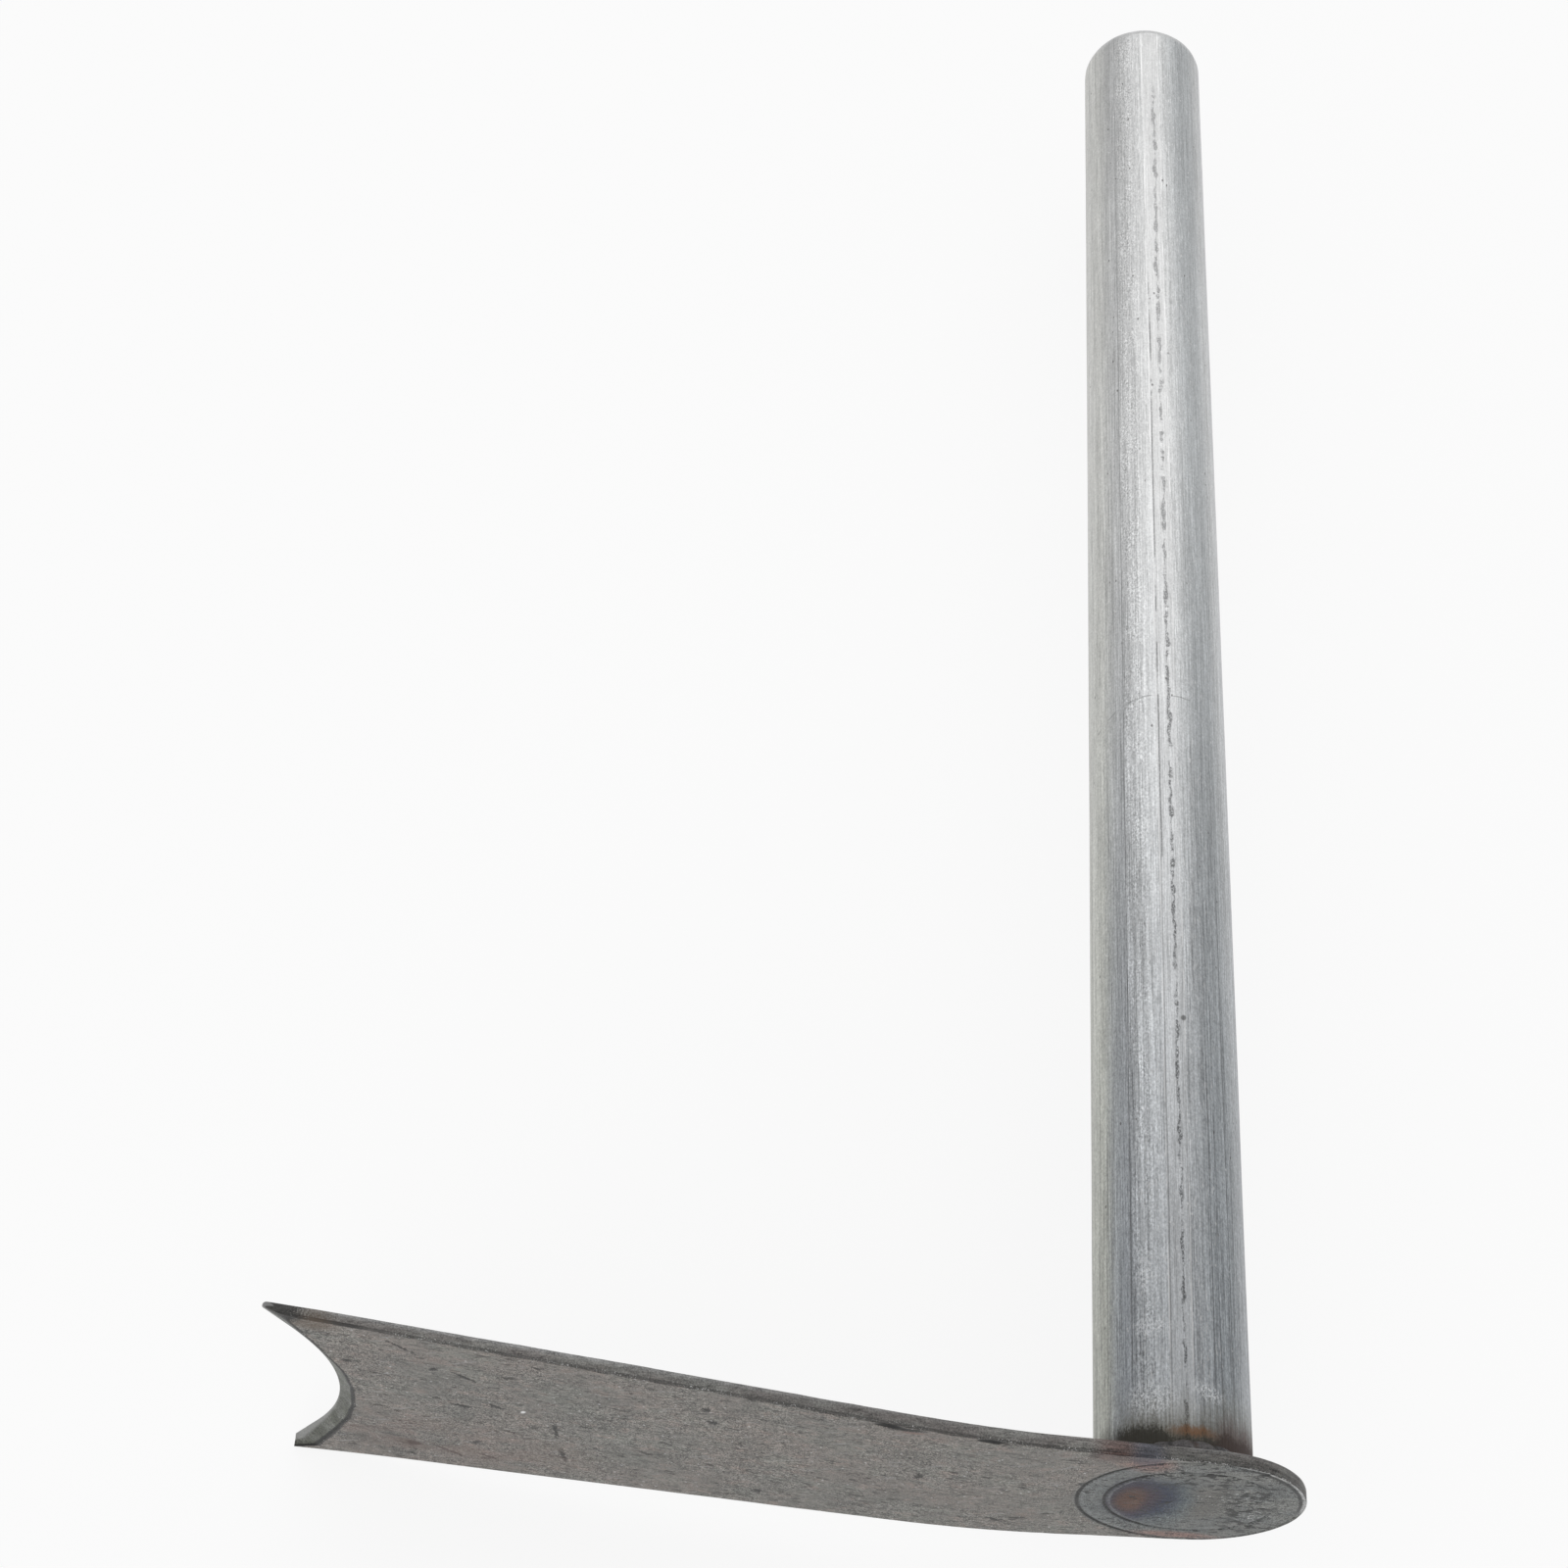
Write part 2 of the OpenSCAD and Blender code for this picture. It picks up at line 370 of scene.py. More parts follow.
def tube_material():
    g = Graph("bare drawn steel")
    x, y, z = g.place()
    around = g.mul(g.math("ARCTAN2", x, z), tube_r)

    def lengthwise(lane, *settings):
        """Noise that changes along the tube alone."""
        return g.noise(g.join(0.0, y, lane), *settings)

    hair = g.field(0.16, 3, 0.6, (1, 0.008, 1))
    fine = g.field(0.34, 3, 0.6, (1, 0.012, 1))
    middle = g.field(1.3, 3, along=(1, 0.02, 1))
    broad = g.field(6, 3, along=(1, 0.25, 1))
    cloud = g.field(2.2, 3, 0.6, (1, 0.4, 1))
    grain = g.field(0.30, 3, 0.65, (1, 0.6, 1))
    wander = g.vary(lengthwise(0.0, 60, 1), 0.8)
    top_half = g.step(z, -2, 2)

    # the steel itself: darker and cooler low down, partly the weld's heat and dust and partly painted
    # shade
    up = g.step(y, 4, 235)
    g.colour = g.mix(up, (0.375, 0.39, 0.405), (0.625, 0.63, 0.63))
    g.shade(g.step(y, 230, 315, 1.0, 0.88))
    # a painted highlight a little left of the seam along the middle, and faint painted light over the
    # lower middle
    painted_highlight = g.mul(g.near(around, -3.0, 3.2, 0.7), g.step(y, 15, 70), g.fall(y, 140, 240))
    g.shade(g.add(1.0, g.mul(painted_highlight, 0.24), g.step(y, 20, 90, 0.0, g.step(y, 120, 220, 0.07, 0.0))))
    # painted reflections of the room: a warm left margin, darker bluish bands either side of the seam and
    # a lighter band on the right
    g.paint(g.mix(up, (0.47, 0.475, 0.42), (0.60, 0.60, 0.575)),
            g.step(around, -8.5, -13.5), g.step(around, -34, -24), 0.75)
    g.paint(g.mix(up, (0.27, 0.29, 0.315), (0.50, 0.52, 0.545)),
            g.near(around, -10.2, 2.4, 0.8), g.fall(y, 20, 190), 0.68)
    g.paint(g.mix(up, (0.27, 0.295, 0.315), (0.475, 0.50, 0.515)), g.near(around, 7.6, 3.6, 0.75), 0.62)
    g.paint(g.mix(up, (0.40, 0.42, 0.44), (0.62, 0.635, 0.645)),
            g.step(around, 11, 14.5), g.fall(around, 24, 34), 0.6)
    short = g.field(0.26, 3, 0.6, (1, 0.13, 1), (9, 4, 2))
    light = g.add(1.0, g.vary(hair, g.step(y, 0, 230, 1.5, 0.9)),
                  g.vary(short, g.step(y, 0, 230, 0.9, 0.6)), g.vary(fine, g.step(y, 0, 230, 1.3, 0.7)),
                  g.vary(middle, g.step(y, 0, 200, 0.7, 0.38)), g.vary(broad, 0.30), g.vary(cloud, 0.22))
    g.shade(light)

    # flecks: a granular band between the long draw line and the seam, and a few all over
    band = g.mul(g.step(around, draw_line_at - 0.3, draw_line_at + 0.9),
                 g.fall(g.add(around, g.vary(cloud, 3)), -5.0, -3.2))
    patchy = g.step(cloud, 0.36, 0.6)
    fleck_share = g.add(g.mul(band, patchy, 1.5), g.step(y, 0, 230, 1.35, 0.75))
    g.shade(g.add(1.0, g.vary(grain, fleck_share)))
    dark_streak = g.field(0.3, 2, 0.5, (1, 0.04, 1), (2, 9, 7))
    g.paint(g.mix(up, grey(0.15, -0.04), grey(0.36, -0.02)),
            g.step(dark_streak, 0.62, 0.67), g.step(y, 20, 200, 1.0, 0.45), 0.42)
    pale_streak = g.field(0.3, 2, 0.5, (1, 0.16, 1), (5, 1, 3))
    g.paint(g.mix(up, grey(0.62), grey(0.86)),
            g.step(pale_streak, 0.62, 0.68), g.step(around, -9, -6), g.step(around, 6, 9, 1.0, 0.35), 0.45)

    # the dome was spun shut: even steel with fine turned rings
    away = g.length(x, z)
    turned = g.noise(g.join(away, g.mul(around, 0.02), 0.0), 0.35, 3, 0.6)
    dome = g.step(y, wall_end - 0.5, wall_end + 1.5)
    dome_steel = g.tone((0.60, 0.605, 0.605), g.add(1.0, g.vary(turned, 0.9)))
    g.paint(g.tone(dome_steel, g.add(0.72, g.mul(cloud, 0.56))), dome, 0.9)

    # the seam: a dressed strip, a little lighter as dressed steel and as a painted reflection off its
    # flat, with a thin broken painted highlight at each border
    on_seam = g.sub(around, wander)
    strip_middle = (seam_from + seam_to) / 2
    seam_side = g.mul(top_half, g.step(y, wall_end + 1.5, wall_end - 1))
    g.paint(g.mix(up, grey(0.47, -0.01), grey(0.76, 0.004)),
            g.near(on_seam, strip_middle, (seam_to - seam_from) / 2, 0.14), seam_side, 0.26)
    border = g.either(g.near(on_seam, seam_from, 0.13), g.near(on_seam, seam_to, 0.11))
    broken = g.step(g.noise(g.join(on_seam, g.mul(y, 0.14), 0.0), 1.2, 3), 0.40, 0.60, 0.12, 1.0)
    g.paint(g.mix(up, grey(0.62), grey(0.92)), border, broken, seam_side, 0.62)

    # rough broken marks where the seam was welded, a thinner broken line beside the strip's
    # left border, and the long dark line that a die drew
    gate = lengthwise(3.0, 6, 4, 0.75)
    wobble = g.vary(lengthwise(40.0, 3.5, 3, 0.6), 1.5)
    ragged = g.noise(g.join(around, g.mul(y, 0.5), 0.0), 0.24, 4, 0.8)
    dash_place = g.add(on_seam, wobble)
    spread = g.step(lengthwise(60.0, 4, 2), 0.38, 0.62, 0.08, g.step(y, 40, 140, 0.30, 0.46))
    off_dash = g.math("ABSOLUTE", g.sub(dash_place, dash_at))
    dashes = g.mul(g.fall(g.sub(off_dash, spread), -0.18, 0.14), g.step(gate, 0.40, 0.50),
                   g.step(ragged, 0.45, 0.54), top_half, g.fall(y, 300, 312))
    gate2 = lengthwise(9.0, 12, 4, 0.65)
    thin = g.mul(g.near(on_seam, second_dash_at, 0.11, 0.5), g.step(gate2, 0.45, 0.52),
                 g.step(ragged, 0.40, 0.5), top_half, g.step(y, 95, 110), g.fall(y, 240, 265))
    gate3 = lengthwise(21.0, 18, 4, 0.7)
    draw_place = g.sub(around, g.mul(wander, 0.6))
    drawn = g.mul(g.near(draw_place, draw_line_at, 0.12, 0.6), g.step(gate3, 0.32, 0.52, 0.15, 1.0))
    drawn2 = g.mul(g.near(draw_place, draw_line_at + 0.75, 0.09, 0.6), g.step(gate3, 0.55, 0.62))
    low = g.fall(y, 90, 140)
    thin = g.either(thin, g.mul(g.near(on_seam, second_dash_at - 0.2, 0.12, 0.6), low, 0.7))
    low_lines = g.mul(g.near(around, low_line_at, 0.12, 0.6), g.step(gate3, 0.42, 0.55))
    low_lines = g.either(low_lines,
                         g.mul(g.near(around, low_line_at + 1.2, 0.12, 0.6), g.step(gate2, 0.42, 0.52)),
                         g.near(around, right_line_at, 0.11, 0.6))
    dashes = g.mul(dashes, g.step(y, 100, 240, 1.0, 0.55))
    marks = g.either(dashes, g.mul(thin, 0.7),
                     g.mul(g.either(drawn, drawn2), g.step(y, 60, 220, 0.72, 0.5)),
                     g.mul(low_lines, low, 0.55))
    g.paint(g.mix(up, grey(0.06, -0.03), grey(0.15, -0.03)), marks, 0.80)

    # small dark pits, a few larger ones, and pale specks of painted glint
    spots = g.cells(g.stretch(g.point, (1, 0.6, 1)), 2.2)
    few = g.field(7, 2)
    pits = g.mul(g.fall(spots, 0.05, 0.11), g.step(few, 0.5, 0.6))
    g.paint(grey(0.10, 0.05), pits, 0.72)
    g.paint(grey(0.09), g.blot(around, y, pit_at, (0.45, 0.5), 0.4), 0.75)
    glint_spots = g.cells(g.shift(g.stretch(g.point, (1, 0.7, 1)), (31, 7, 3)), 1.7)
    g.paint(g.mix(up, grey(0.66), grey(0.9)), g.fall(glint_spots, 0.06, 0.13), g.fall(few, 0.44, 0.52), 0.5)

    # a faint scratch round the middle
    bow = g.add(ring_scratch_y, g.vary(g.noise(g.join(g.mul(around, 0.3), 0.0, 0.0), 2, 2), 2.2))
    bow = g.sub(bow, g.mul(around, around, 0.022))
    ring_gate = g.noise(g.join(around, 0.0, 5.0), 4, 2)
    g.paint(grey(0.16), g.near(y, bow, 0.13, 0.6), g.step(ring_gate, 0.45, 0.58), top_half, 0.5)

    # heat and soot of the weld: a dark olive stain that climbs further on the left, an
    # orange-brown patch at the seam, and brown on the right
    lick = g.vary(g.field(1.2, 3, 0.65, (1, 0.15, 1)), 6)
    dry = g.field(0.36, 4, 0.78, (1, 0.7, 1))
    crumbs = g.vary(dry, 4.5)
    licks = g.add(y, lick, crumbs)
    left = g.step(around, -1.0, -5.5)
    right = g.step(around, 2.5, 7.5)
    climb = g.add(8.6, g.mul(left, 0.2), g.mul(right, 1.6))
    g.paint((0.20, 0.195, 0.165), g.fall(g.sub(licks, climb), 0.0, 6.0), g.step(around, -12.5, -9), 0.45)
    olive = g.mul(g.fall(g.sub(licks, climb), -2.6, 1.6), g.step(around, -13, -9.5, 0.35, 1.0))
    olive_colour = g.mix(right, (0.080, 0.073, 0.046), (0.105, 0.072, 0.062))
    g.paint(g.tone(olive_colour, light), olive, 0.74)
    low_lick = g.add(y, g.mul(lick, 0.25), g.mul(crumbs, 0.4))
    g.paint((0.19, 0.082, 0.028), g.blot(around, low_lick, (1.4, 7.0), (3.2, 0.8), 0.8), 0.72)
    # a black band round the foot just above the bead, reaching higher on the left and the right
    black_top = g.add(6.0, g.mul(left, 1.9), g.mul(right, 1.5))
    black = g.fall(g.sub(g.add(y, g.mul(lick, 0.5), crumbs), black_top), -1.0, 0.9)
    black = g.mul(black, g.step(around, -13, -10.5, 0.4, 1.0))
    g.paint(g.mix(right, (0.020, 0.017, 0.011), (0.046, 0.027, 0.022)), black, 0.80)

    # dry white scuffs near the foot
    scuff_area = g.either(g.blot(around, y, (-5.4, 33), (1.3, 3.0), 0.7),
                          g.blot(around, y, (-4.9, 24), (2.6, 1.5), 0.7),
                          g.blot(around, y, (-5.2, 12.4), (3.6, 2.4), 0.6),
                          g.blot(around, g.add(y, g.mul(around, 0.25)), (4.0, 14.6), (2.4, 1.2), 0.7))
    scuffs = g.mul(scuff_area, g.step(dry, 0.50, 0.56))
    g.paint(grey(0.68, -0.02), scuffs, 0.9)

    stain = g.either(g.mul(olive, 0.8), black)
    rough = g.add(0.50, g.vary(broad, 0.22), g.vary(fine, 0.18),
                  g.add(g.mul(stain, 0.2), g.mul(scuffs, 0.2)))
    metal = g.sub(0.88, g.add(g.mul(stain, 0.5), g.mul(scuffs, 0.5)))
    heights = g.add(g.mul(hair, 0.5), g.mul(fine, 0.6), g.mul(grain, g.add(0.45, g.mul(band, 0.8))),
                    g.mul(turned, dome, 1.2))
    heights = g.sub(heights, g.add(g.mul(marks, 1.6), g.mul(pits, 1.3)))
    return g.finish(metal, rough, g.bump(heights, 0.035))


def tube_outside_r(around, y):
    """Radius of the tube's outside at an arc length from the seam and a height."""
    r = tube_r - foot_taper * (1 - smooth(y, plate_t, plate_t + foot_h))
    angle = around / tube_r
    flat = tube_r * math.sqrt(1 - (seam_w / 2 / tube_r) ** 2) / np.cos(np.clip(angle, -0.5, 0.5))
    on_strip = np.abs(around) < seam_w / 2
    fade = smooth(y, wall_end + 4, wall_end - 6)
    return np.where(on_strip, r + (np.minimum(flat, tube_r) - tube_r) * fade, r)


def tube_columns():
    """Arc lengths round the tube, close together over the seam."""
    side = 3.0
    turn = 2 * math.pi * tube_r
    over_seam = np.linspace(-side, side, 31)[:-1]
    the_rest = np.linspace(side, turn - side, 127)[:-1]
    return np.concatenate([over_seam, the_rest])


def make_tube(material):
    columns = tube_columns()
    turn = 2 * math.pi * tube_r
    signed = (columns + turn / 2) % turn - turn / 2
    angle = columns / tube_r

    def ring(r, h):
        return np.stack([r * np.sin(angle), np.full(len(angle), h), r * np.cos(angle)], 1)

    def drawn(h, share, size, seed):
        """Unevenness round the tube at height h, drawn out along it."""
        return uneven([(math.sin(a) * 14, h * share, math.cos(a) * 14) for a in angle], size, seed)

    heights = np.concatenate([np.linspace(plate_t, plate_t + foot_h, 8)[:-1],
                              np.linspace(plate_t + foot_h, wall_end, 262)])
    upwards = [(0, h, 0) for h in heights]
    rings = []
    for h, dash, second_dash in zip(heights, uneven(upwards, 5, 3, 3), uneven(upwards, 14, 6)):
        r = tube_outside_r(signed, h)
        r = r + hair_depth * drawn(h, 0.02, 1.3, 1)
        r = r + wave_depth * drawn(h, 0.25, 9, 2)
        r = r + border_rise * (hump(signed, seam_from, 0.3) + hump(signed, seam_to, 0.3))
        r = r - dash_depth * max(0.0, dash) * hump(signed, dash_at, 0.45)
        r = r - second_dash_depth * max(0.0, second_dash) * hump(signed, second_dash_at, 0.3)
        rings.append(ring(np.minimum(r, tube_r + most_rise), h))
    tilts = [math.pi / 2 * i / dome_steps for i in range(dome_steps)]
    for a in tilts[1:]:
        r = tube_r * math.cos(a) + turned_depth * np.cos(angle * 9)
        rings.append(ring(r, wall_end + dome_h * math.sin(a)))
    bore_r = tube_r - tube_wall
    inside = [ring(bore_r * math.cos(a), wall_end + (dome_h - tube_wall) * math.sin(a))
              for a in tilts[::-2]]
    inside.append(ring(bore_r, plate_t))
    tops = [[0, tool_len, 0], [0, tool_len - tube_wall, 0]]

    outer = np.arange(len(rings) * len(angle)).reshape(-1, len(angle))
    top = outer.size
    bore = top + 2 + np.arange(len(inside) * len(angle)).reshape(-1, len(angle))
    faces = ring_faces(outer)
    faces += [(a, b, top) for a, b in zip(outer[-1], onward(outer[-1]))]
    faces += [(a, top + 1, b) for a, b in zip(bore[0], onward(bore[0]))]
    faces += ring_faces(bore)
    faces += zip(outer[0], bore[-1], onward(bore[-1]), onward(outer[0]))
    new_piece("tube", np.concatenate([*rings, tops, *inside]), faces,
              "handle_tube", [material], 40)


# Blade: followed by u, the distance along its outer face from the handle's axis, by y across
# it (below 0 at the upper prong) and by depth in from the outer face

straight_start = bend_start + bend_len
ease_start = blade_len - ease_len
bend_r = bend_len / rake
ease_r = ease_len / ease
notch_at = blade_len - notch_depth


def slope(u):
    bend = rake * np.clip((u - bend_start) / bend_len, 0, 1)
    return bend - ease * np.maximum(0, (u - ease_start) / ease_len)


def face_at(u):
    """Place of the outer face, as the distance out and the rise towards the handle."""
    a = slope(u)
    c, s = math.cos(rake), math.sin(rake)
    bend_out, bend_rise = bend_start + bend_r * s, bend_r * (1 - c)
    run = ease_start - straight_start
    ease_out, ease_rise = bend_out + run * c, bend_rise + run * s
    parts = [u <= bend_start, u <= straight_start, u <= ease_start]
    out = np.select(parts, [u, bend_start + bend_r * np.sin(a), bend_out + (u - straight_start) * c],
                    ease_out - ease_r * (np.sin(a) - s))
    rise = np.select(parts, [u * 0, bend_r * (1 - np.cos(a)), bend_rise + (u - straight_start) * s],
                     ease_rise + ease_r * (np.cos(a) - c))
    return out, rise


def thickness(u):
    return plate_t + (tip_t - plate_t) * np.maximum(0, u - bend_start) / (blade_len - bend_start)


def plate_points(u, y, depth):
    """Points in the row frame."""
    a = slope(u)
    out, rise = face_at(u)
    return np.stack([-out + depth * np.sin(a), rise + depth * np.cos(a), -y], -1)


tip_from_head = math.hypot(blade_len + head_off, half_w)
touch = math.atan2(half_w, blade_len + head_off) + math.acos(head_r / tip_from_head)
touch_u = head_r * math.cos(touch) - head_off
touch_y = head_r * math.sin(touch)
flare = (half_w - touch_y) / (blade_len - touch_u)


def notch_line(arc, y):
    """How far a crescent line has run towards the prongs at y."""
    round_y = notch_r * math.sin(arc)
    rounded = notch_r - np.sqrt(np.maximum(0, notch_r ** 2 - np.minimum(np.abs(y), round_y) ** 2))
    return rounded + np.maximum(0, np.abs(y) - round_y) * math.tan(arc)


def end_cut(y, half):
    """Where the end is cut off at y, with the dressed corner of each prong."""
    corner = np.where(y < 0, upper_corner_r, lower_corner_r)
    into = np.clip(np.abs(y) - (half - corner), 0, corner)
    return blade_len + y * math.tan(end_skew) - (corner - np.sqrt(corner ** 2 - into ** 2))


def end_line(y, depth, half):
    """Where the plate ends at y and a depth: on the bevel, the land or the cut end."""
    across = y + notch_off
    edge = notch_at + notch_line(notch_arc, across)
    ground = thickness(notch_at) - land
    lean = notch_line(notch_arc, across) - notch_line(bevel_arc, across) + bevel_w
    lean = lean + bevel_waver * uneven_line(y, 4, 2.6, 5)
    # the bevel is narrower on the lower prong and runs out at its side
    lean = lean * (1 - 0.2 * smooth(y, 12, 28))
    lean = lean * smooth(y, half - 0.2, half - 2.4)
    bevel = edge - lean * np.clip(1 - depth / ground, 0, 1)
    return np.minimum(bevel, end_cut(y, half))


# The rim runs through these steps from the outer face to the handle side: how far it stands in
# from the outline, and its depth from the nearer face
outer_steps = 4
side_inset = (0.6, 0.3, 0.08, 0.0, 0.0, 0.113, 0.3, 0.6)
side_depth = (0.0, 0.08, 0.3, 0.6, 0.6, 0.25, 0.08, 0.0)
head_inset = (0.15, 0.07, 0.02, 0.0, 0.0, 0.113, 0.3, 0.6)
head_depth = (0.0, 0.04, 0.1, 0.2, 0.6, 0.25, 0.08, 0.0)
end_depth = (0.0, 0.12, 0.5, 1.0, 0.6, 0.25, 0.06, 0.0)
end_inset = (0.0, 0.0, 0.0, 0.0, 0.0, 0.0, 0.0, 0.04)
steps = len(side_inset)
# What the material reads along the rim: the sheared side, and the brink where it meets the outer
# face or, below 0, the handle side
rim_side = (0.0, 0.75, 1.0, 1.0, 1.0, 1.0, 0.75, 0.0)
rim_brink = (0.0, 1.0, 0.75, 0.0, -0.45, -1.0, -1.0, -0.3)
end_brink = (1.0, 0.75, 0.0, 0.0, 0.0, 0.0, 0.0, 0.0)
# How much of a face's own marks each step keeps
rim_marks = (1, 0.6, 0.2, 0, 0, 0.2, 0.6, 1)

# Knocks at the upper edge and a ground spot on the upper prong: place, radii and depth
knocks = (((46.3, -20.6), (3.2, 1.1), 0.35), ((30.7, -19.9), (3.2, 1.1), 0.35),
          ((139.0, -28.3), (3.4, 1.8), 0.3))
dent_n = 70

across_n = 120
head_n = 112
near_head_rows = 20
body_rows = 92
end_rows = 30
chord_u = 28.0
warp_u = 116.0
disc_radii = np.concatenate([
    np.linspace(0, inner_ring_r - ring_half, 10)[1:],
    inner_ring_r + ring_half * np.array([-0.5, 0, 0.5, 1]),
    np.linspace(inner_ring_r + ring_half, outer_ring_r - ring_half, 5)[1:],
    outer_ring_r + ring_half * np.array([-0.5, 0, 0.45])])

arc_angle = touch * (1 - 2 * np.arange(across_n + 1) / across_n)
share_across = np.sin(arc_angle / touch * math.pi / 2)
head_angle = -touch - (2 * math.pi - 2 * touch) * np.arange(1, head_n) / head_n


def head_circle(angles, r):
    """u and y of points round the middle of the head."""
    return -head_off + r * np.cos(angles), r * np.sin(angles)


def body_grid(k):
    """u, y and the end's share of the row for the sheet of one rim step."""
    def half_at(u):
        inset = head_inset[k] + (side_inset[k] - head_inset[k]) * smooth(u, touch_u, touch_u + 18)
        return touch_y + flare * (u - touch_u) - inset

    arc_u, arc_y = head_circle(arc_angle, head_r - head_inset[k])
    none = np.zeros(across_n + 1)
    rows = []
    for w in np.linspace(0, 1, near_head_rows + 1):
        u = arc_u + w * (chord_u - arc_u)
        y = arc_y + w * (share_across * half_at(chord_u) - arc_y)
        for side in (0, across_n):
            y[side] = math.copysign(half_at(u[side]), y[side])
        rows.append((u, y, none))
    for u_row in np.linspace(chord_u, warp_u, body_rows + 1)[1:]:
        rows.append((none + u_row, share_across * half_at(u_row), none))
    corner = np.minimum(np.arange(across_n + 1), across_n - np.arange(across_n + 1))
    to_end = smooth(corner, 0, 4)
    level = side_depth[k] + (end_depth[k] - side_depth[k]) * to_end
    depth = level if k < outer_steps else thickness(blade_len) - level
    last = end_line(share_across * half_at(blade_len), depth, half_w) - end_inset[k]
    for w in np.linspace(0, 1, end_rows + 1)[1:]:
        u = warp_u + w * (last - warp_u)
        rows.append((u, share_across * half_at(u), (none + w) ** 6 * to_end))
    u, y, end_share = [np.stack(part) for part in zip(*rows)]
    # the sheared upper edge is a little uneven
    run = u[:, -1]
    waves = np.abs(uneven_line(run, 9, 5, 12))
    y[:, -1] += edge_waves * waves * smooth(run, 22, 40) * smooth(run, 128, 100)
    return u, y, end_share


def rim_depth(k, u, end_share):
    """Depth of a rim step, as it changes from the head to the sides and the end."""
    to_side = smooth(u, touch_u, touch_u + 18)
    level = head_depth[k] + (side_depth[k] - head_depth[k]) * to_side
    return level + (end_depth[k] - level) * np.where(end_share > 0.999, 1, end_share)


def dents():
    """Places, radii and depths of the small dents, the same on every run."""
    chance = np.random.default_rng(11)
    u = chance.uniform(-16, 138, dent_n)
    y = chance.uniform(-0.9, 0.9, dent_n) * (17 + flare * np.maximum(0, u))
    return np.stack([u, y, chance.uniform(0.7, 2.0, dent_n), chance.uniform(0.03, 0.10, dent_n)], 1)


def face_waves(u, y, lane, height, size, seed):
    """Slow waves of this height and size in a face, and small ones over them."""
    flat = np.stack([u.ravel(), y.ravel(), np.full(u.size, lane)], 1)
    into = height * uneven(flat, size, seed) + 0.035 * uneven(flat, 5, seed + 1, 3)
    return into.reshape(u.shape)


def outer_marks(u, y):
    """How far the outer face lies in from its plain form."""
    into = face_waves(u, y, 0, 0.09, 24, 1)
    r = np.hypot(u + head_off, y)
    for ring_r in (inner_ring_r, outer_ring_r):
        into = into + ring_depth * np.clip(1 - np.abs(r - ring_r) / ring_half, 0, 1)
    for du, dy, size, deep in dents():
        into = into + deep * hump(np.hypot(u - du, (y - dy) * 1.3), 0, size)
    for (du, dy), (ru, ry), deep in knocks:
        into = into + deep * hump(np.hypot((u - du) / ru, (y - dy) / ry), 0, 1)
    return into


def inner_marks(u, y):
    return face_waves(u, y, 50, 0.08, 22, 3)


def rim_line(sheet, head):
    """A sheet's values along its rim: down one side, over the end, back up and round the head."""
    return np.concatenate([sheet[:, 0], sheet[-1, 1:], sheet[-2::-1, -1], head])


def make_blade(scale_material, ground_material):
    points, side, brink, cavity = [], [], [], []

    def put(u, y, depth, deep, on_side, on_brink):
        """Adds points at a depth, and gives back their numbers."""
        first = sum(len(part) for part in points)
        points.append(plate_points(u, y, depth).reshape(-1, 3))
        side.append(np.full(u.size, on_side))
        brink.append(np.broadcast_to(on_brink, u.shape).ravel())
        cavity.append(np.broadcast_to(deep, u.shape).ravel())
        return first + np.arange(u.size).reshape(u.shape)

    faces, loops = [], []
    for k in range(steps):
        u, y, end_share = body_grid(k)
        outer = k < outer_steps
        marks = outer_marks if outer else inner_marks
        rim_r = head_r - head_inset[k]
        head_u, head_y = head_circle(head_angle, rim_r)

        def put_face(u, y, on_brink=0.0):
            into = marks(u, y)
            return put(u, y, into if outer else thickness(u) - into, into, 0.0, on_brink)

        if k in (0, steps - 1):
            at_end = np.zeros(u.shape)
            at_end[-1] = end_brink[k]
            grid = put_face(u, y, at_end)
            head = put_face(head_u, head_y)
            radii = disc_radii if outer else disc_radii / disc_radii[-1] * rim_r
            angles = np.concatenate([arc_angle, head_angle])
            rings = [put_face(*head_circle(angles, r)) for r in radii[:-1]]
            middle = put_face(np.array([-head_off]), np.array([0.0]))[0]
            rings.append(np.concatenate([grid[0], head]))
            faces += [(middle, a, b) for a, b in zip(rings[0], onward(rings[0]))]
            for a, b in zip(rings, rings[1:]):
                faces += zip(a, b, onward(b), onward(a))
            for a, b in zip(grid, grid[1:]):
                faces += zip(a[:-1], b[:-1], b[1:], a[1:])
            loops.append(rim_line(grid, head))
        else:
            line_u, line_y = rim_line(u, head_u), rim_line(y, head_y)
            share = rim_line(end_share, head_u * 0)
            level = rim_depth(k, line_u, share)
            into = rim_marks[k] * marks(line_u, line_y)
            depth = level + into if outer else thickness(line_u) - level - into
            line_brink = np.where(share > 0.999, end_brink[k], rim_brink[k])
            loops.append(put(line_u, line_y, depth, 0.0, rim_side[k], line_brink))
    end_from = near_head_rows + body_rows + end_rows
    on_end = [int(end_from <= j < end_from + across_n) for j in range(len(loops[0]))]
    which = [0] * len(faces) + on_end * (steps - 1)
    faces += ring_faces(loops)
    piece = new_piece("blade_plate", np.concatenate(points), faces,
                      "blade", [scale_material, ground_material], 28, which)
    keep_number(piece, "side", side)
    keep_number(piece, "brink", brink)
    keep_number(piece, "cavity", cavity)


